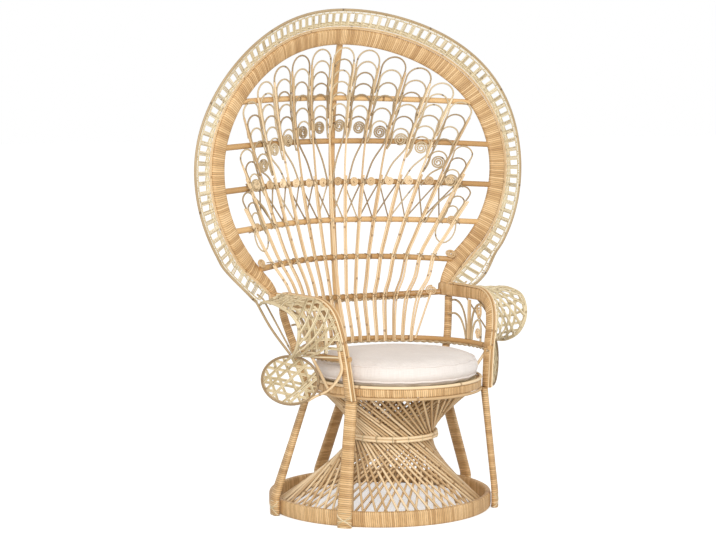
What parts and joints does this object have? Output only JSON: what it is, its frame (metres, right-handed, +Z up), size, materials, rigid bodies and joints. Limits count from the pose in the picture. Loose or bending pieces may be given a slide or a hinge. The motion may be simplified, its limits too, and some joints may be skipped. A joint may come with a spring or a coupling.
{
  "type": "peacock chair",
  "caption": "High-backed woven rattan peacock chair with a round fan back, flared woven arms, an hourglass base and a loose round seat cushion.",
  "frame": {"origin": "middle of the chair's overall footprint at floor level", "axes": "+Z up, -Y the way the sitter faces, +X the sitter's left"},
  "size_m": [1.1666, 0.702, 1.49],
  "materials": {
    "rattan": "natural honey rattan cane, satin lacquer",
    "wrapped_rattan": "poles wrapped in peeled cane, satin lacquer",
    "split_cane": "pale split cane, matt",
    "cushion_cloth": "off-white plain-woven linen or cotton with piped seams"
  },
  "bodies": {
    "chair": {"arm_bow_left": "wrapped_rattan", "arm_bow_right": "wrapped_rattan", "arm_edge_canes_left": "rattan", "arm_edge_canes_right": "rattan", "arm_scrolls_left": "rattan", "arm_scrolls_right": "rattan", "arm_stay_left": "rattan", "arm_stay_right": "rattan", "back_rail_1": "rattan", "back_rail_2": "rattan", "back_rail_3": "rattan", "back_rail_4": "rattan", "back_rail_5": "rattan", "back_rail_6": "rattan", "base_hoop": "wrapped_rattan", "fan_arch": "wrapped_rattan", "fan_border": "split_cane", "fan_canes_left": "rattan", "fan_canes_right": "rattan", "fan_edge_cane": "rattan", "fan_outer_rim": "rattan", "fan_scallop_middle": "rattan", "hourglass_inner_lower": "rattan", "hourglass_inner_upper": "rattan", "hourglass_outer_lower": "rattan", "hourglass_outer_upper": "rattan", "leg_front_left": "wrapped_rattan", "leg_front_right": "wrapped_rattan", "leg_rear": "wrapped_rattan", "leg_side_left": "wrapped_rattan", "leg_side_right": "wrapped_rattan", "rear_arm_post_left": "wrapped_rattan", "rear_arm_post_right": "wrapped_rattan", "seat_bottom_cane": "rattan", "seat_deck": "split_cane", "seat_hoop": "wrapped_rattan", "seat_pole_back": "rattan", "seat_pole_front": "rattan", "seat_rail": "rattan", "seat_stay_left": "rattan", "seat_stay_right": "rattan", "seat_top_cane": "rattan", "side_hoop_lattice_left": "split_cane", "side_hoop_lattice_right": "split_cane", "side_hoop_left": "rattan", "side_hoop_right": "rattan", "spine_pole": "wrapped_rattan", "waist_hoop": "rattan", "wing_foot_cane_left": "rattan", "wing_foot_cane_right": "rattan", "wing_lattice_left": "split_cane", "wing_lattice_right": "split_cane", "wing_rim_left": "rattan", "wing_rim_right": "rattan"},
    "cushion": {"cushion": "cushion_cloth"}
  },
  "joints": [
    {"name": "cushion_lift", "type": "slide", "parent": "chair", "child": "cushion", "axis": [0, 0, 1], "range_m": [0, 0.25]}
  ]
}
